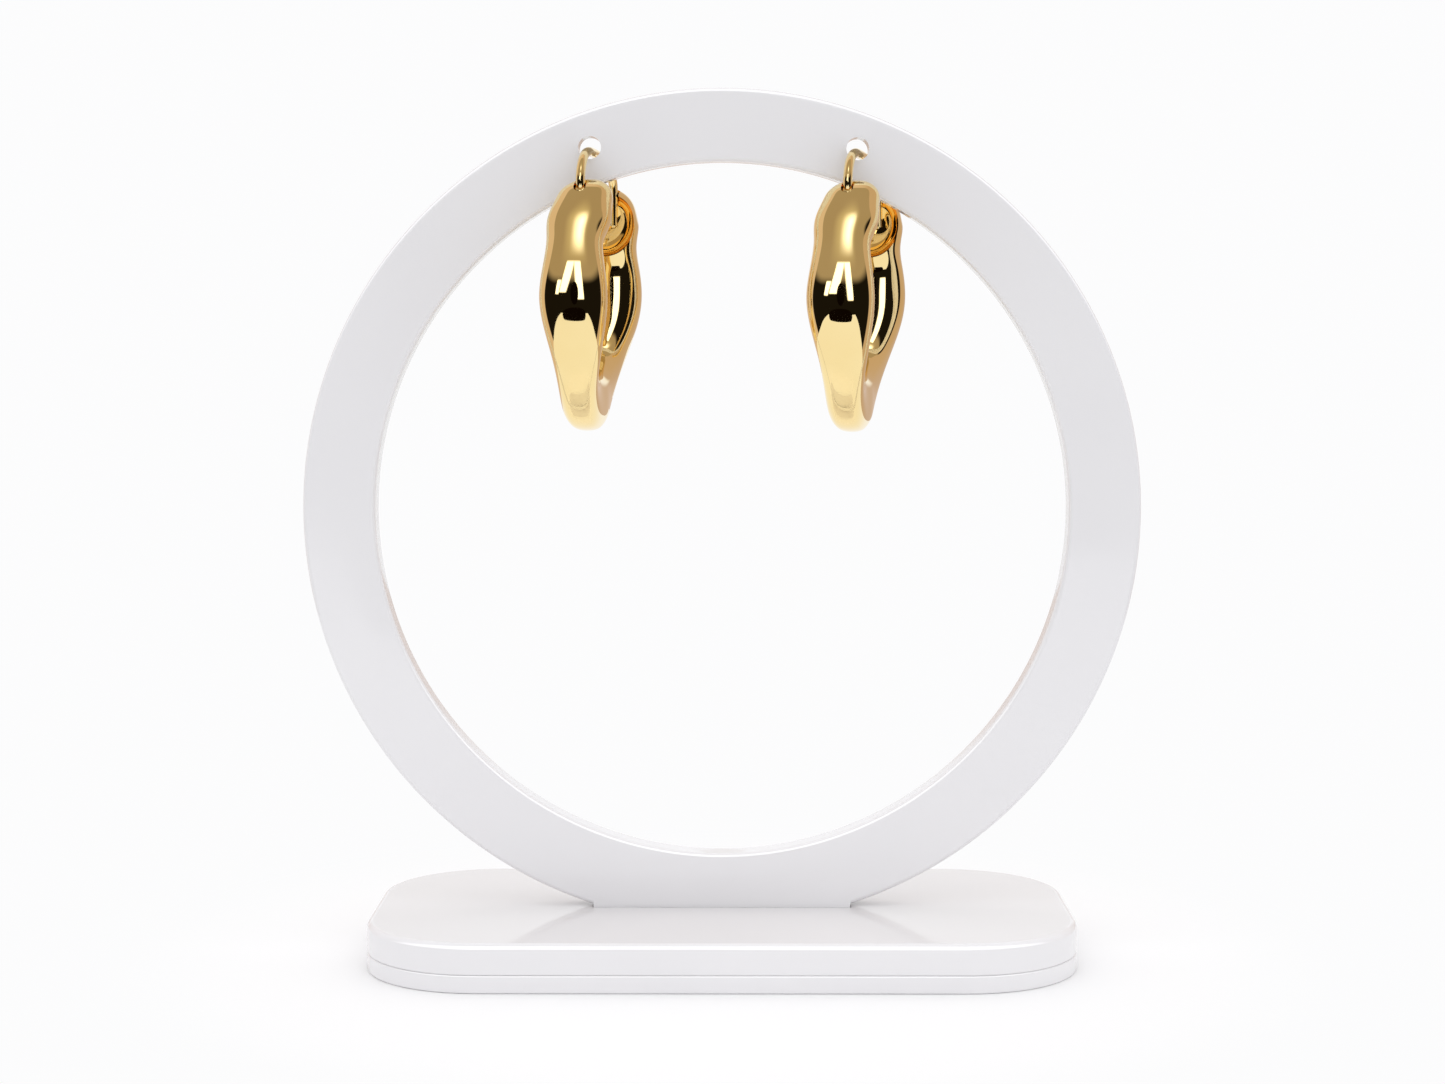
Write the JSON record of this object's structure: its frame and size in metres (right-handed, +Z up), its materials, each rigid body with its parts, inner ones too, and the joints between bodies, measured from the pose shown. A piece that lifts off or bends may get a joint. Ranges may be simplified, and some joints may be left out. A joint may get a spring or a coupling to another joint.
{
  "type": "pair of hoop earrings on a ring display stand",
  "caption": "Pair of chunky wavy gold hoop earrings with hinged ear wires, hung in the holes of a white acrylic ring stand on a flat base.",
  "frame": {"origin": "centre of the stand's underside, on the surface that it stands on", "axes": "+Z up, +X to the right of the ring's front face, +Y from the front of the stand to its back, through the ring"},
  "size_m": [0.1, 0.043, 0.1036],
  "materials": {
    "white_acrylic": "polished white acrylic sheet with softly eased edges",
    "polished_gold": "mirror-polished yellow gold plate over brass"
  },
  "bodies": {
    "stand": {"stand_base_lower": "white_acrylic", "stand_base_upper": "white_acrylic", "stand_ring": "white_acrylic", "ear_wire_left": "polished_gold", "ear_wire_right": "polished_gold"},
    "hoop_left": {"hoop_left": "polished_gold"},
    "hoop_right": {"hoop_right": "polished_gold"}
  },
  "joints": [
    {"name": "hoop_left_hinge", "type": "hinge", "parent": "stand", "child": "hoop_left", "pos_m": [-0.01644, -0.00554, 0.0912], "axis": [-0.989, 0.1478, 0], "range_deg": [0, 40]},
    {"name": "hoop_right_hinge", "type": "hinge", "parent": "stand", "child": "hoop_right", "pos_m": [0.01476, -0.00546, 0.09105], "axis": [-0.9744, 0.225, 0], "range_deg": [0, 40]}
  ]
}
